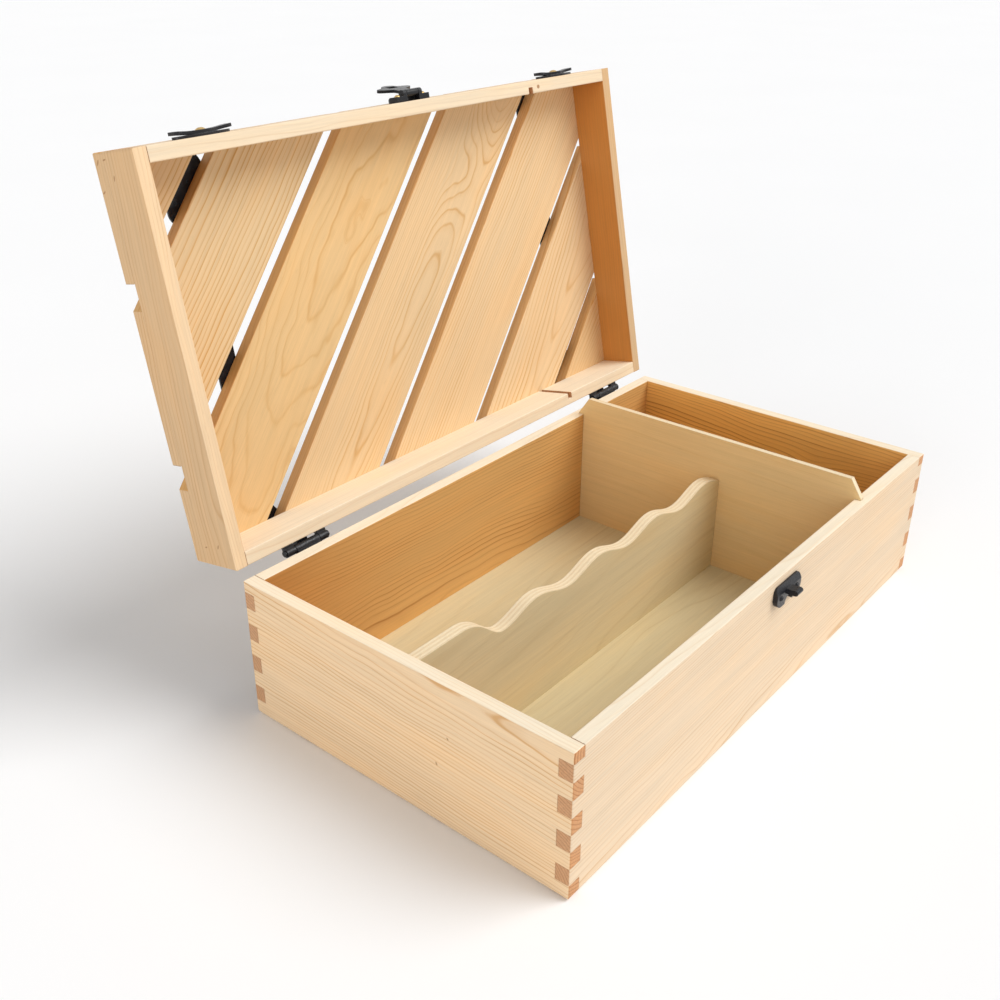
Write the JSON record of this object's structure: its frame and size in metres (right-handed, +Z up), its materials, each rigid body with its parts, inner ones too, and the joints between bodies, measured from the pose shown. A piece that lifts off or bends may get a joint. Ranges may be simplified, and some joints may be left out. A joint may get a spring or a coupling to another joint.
{
  "type": "wooden wine box",
  "caption": "Wooden wine box with a hinged slatted lid, a cross divider, a wavy bottle separator, iron strap hinges and a tongue latch.",
  "frame": {"origin": "centre of the box's underside", "axes": "+X along the box from the bottle end to the compartment end, -Y out of the latch side, +Y out of the hinge side, +Z up"},
  "size_m": [0.41, 0.3256, 0.3278],
  "materials": {
    "pine_box": "bare planed pine, pale cream, with end grain on the finger joints",
    "plywood": "bare plywood, olive tan faces and cream edges",
    "pine_lid": "bare planed pine, pale cream",
    "pine_slat": "bare planed pine, golden tan, grain along the slat",
    "black_iron": "black satin lacquer on stamped and cast iron",
    "brass_nail": "brushed brass dome heads"
  },
  "bodies": {
    "box": {"front_wall": "pine_box", "back_wall": "pine_box", "left_end_wall": "pine_box", "right_end_wall": "pine_box", "bottom_panel": "plywood", "cross_divider": "plywood", "bottle_separator": "plywood", "left_hinge_leaf": "black_iron", "right_hinge_leaf": "black_iron", "left_hinge_pin": "black_iron", "right_hinge_pin": "black_iron", "leaf_nails": "black_iron", "catch_plate": "black_iron", "catch_nails": "black_iron"},
    "lid": {"lid_front_rail": "pine_lid", "lid_back_rail": "pine_lid", "lid_left_side": "pine_lid", "lid_right_side": "pine_lid", "slat_1": "pine_slat", "slat_2": "pine_slat", "slat_3": "pine_slat", "slat_4": "pine_slat", "slat_5": "pine_slat", "slat_6": "pine_slat", "slat_7": "pine_slat", "left_strap": "black_iron", "right_strap": "black_iron", "left_bow": "black_iron", "right_bow": "black_iron", "strap_nails": "black_iron", "brass_nails": "brass_nail", "latch_base": "black_iron", "latch_pin": "black_iron", "latch_nails": "brass_nail"},
    "tongue": {"latch_tongue": "black_iron"}
  },
  "joints": [
    {"name": "lid_hinge", "type": "hinge", "parent": "box", "child": "lid", "pos_m": [0, 0.119, 0.0922], "axis": [-1, 0, 0], "range_deg": [-101, 0]},
    {"name": "latch_swing", "type": "hinge", "parent": "lid", "child": "tongue", "pos_m": [0, 0.16967, 0.32562], "axis": [-1, 0, 0], "range_deg": [-167, 0]}
  ]
}
